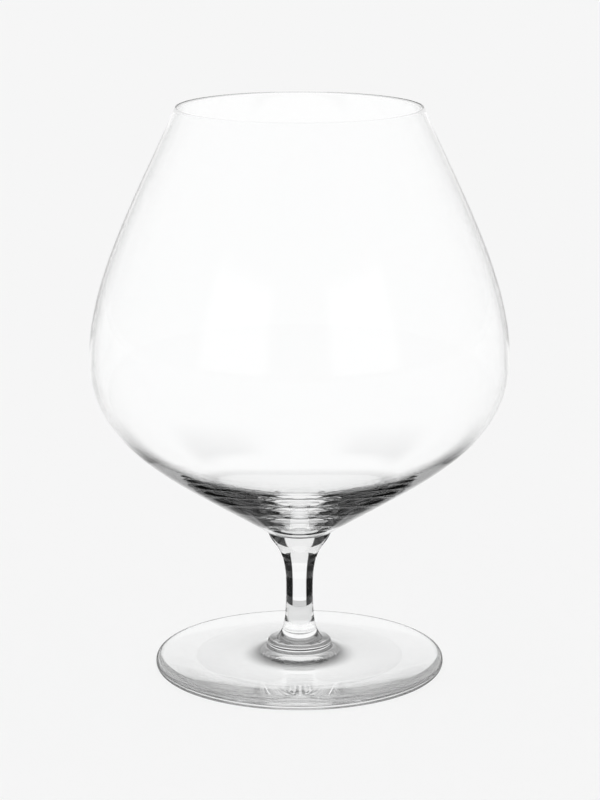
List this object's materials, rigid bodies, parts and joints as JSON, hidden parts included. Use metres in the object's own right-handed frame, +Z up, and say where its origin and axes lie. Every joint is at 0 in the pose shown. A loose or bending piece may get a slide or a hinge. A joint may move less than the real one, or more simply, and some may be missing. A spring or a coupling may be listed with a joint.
{
  "type": "brandy snifter",
  "caption": "Clear glass snifter: a wide balloon bowl that closes in to a narrower rim, on a short waisted stem and a flat round foot.",
  "frame": {"origin": "centre of the foot's underside, on the surface that the glass stands on", "axes": "+Z up along the glass's axis, from the foot through the rim; X and Y are alike"},
  "size_m": [0.117, 0.117, 0.16],
  "materials": {
    "clear_glass": "fire-polished clear crystal glass, colourless, smooth inside and out"
  },
  "bodies": {
    "root": {"bowl": "clear_glass", "stem": "clear_glass", "foot": "clear_glass"}
  },
  "joints": []
}
